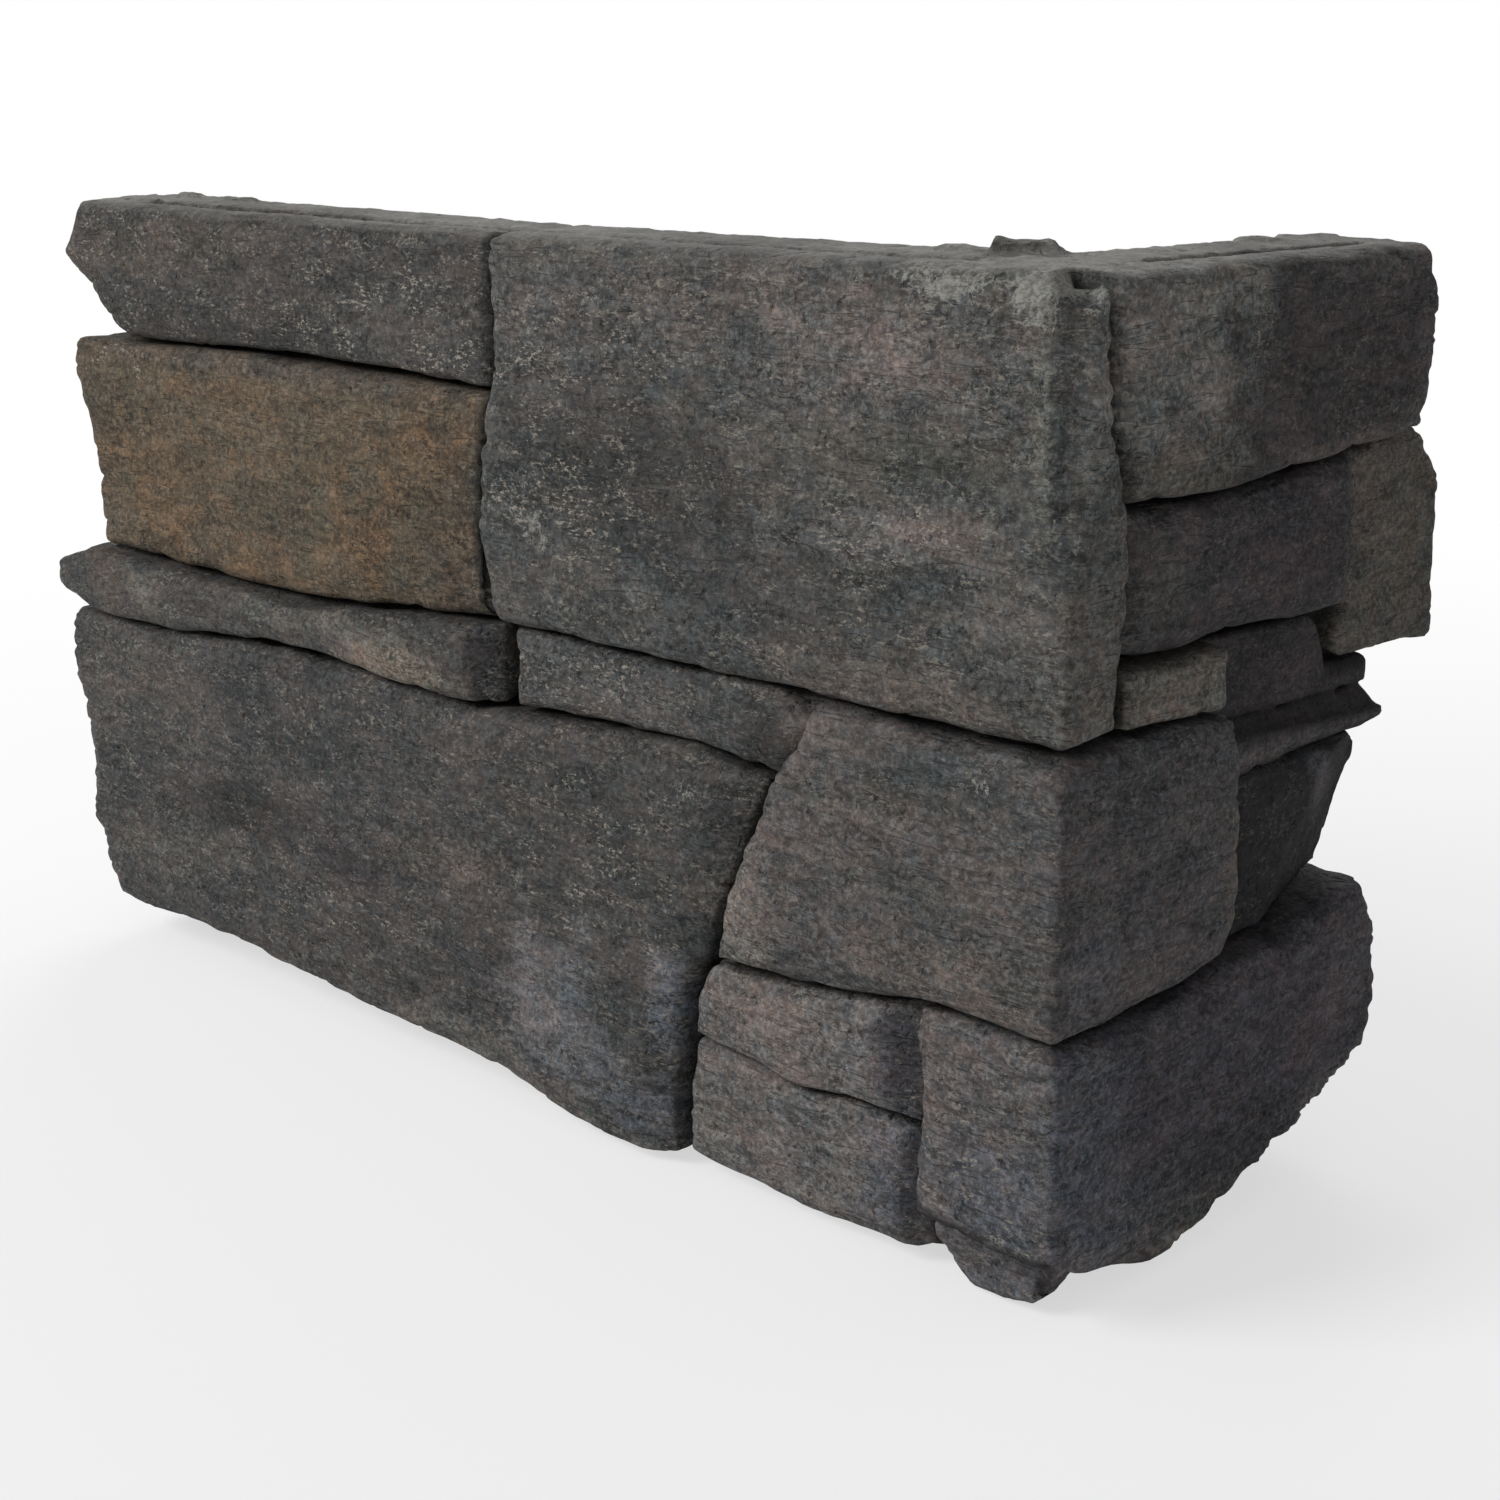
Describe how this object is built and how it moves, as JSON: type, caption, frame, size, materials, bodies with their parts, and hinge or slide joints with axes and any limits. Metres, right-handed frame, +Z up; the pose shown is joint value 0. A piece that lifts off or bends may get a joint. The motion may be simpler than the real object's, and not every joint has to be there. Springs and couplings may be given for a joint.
{
  "type": "stone cladding corner piece",
  "caption": "One-piece cast stone cladding panel bent round an outside corner, moulded as dark rough-faced ledge stones on a flat back.",
  "frame": {"origin": "On the floor plane, at the foot of the inside corner: the line in which the flat back of the long leg and the flat back of the return meet.", "axes": "+Z up. The long leg runs from the corner towards -X, with its flat back facing +Y and its moulded face facing -Y. The return runs from the corner towards +Y, with its flat back facing -X and its moulded face facing +X."},
  "size_m": [0.5315, 0.2373, 0.3109],
  "materials": {
    "cast_stone": "rough cleft cast concrete, charcoal grey with brown and blue-grey washes"
  },
  "bodies": {
    "root": {"corner_panel": "cast_stone"}
  },
  "joints": []
}
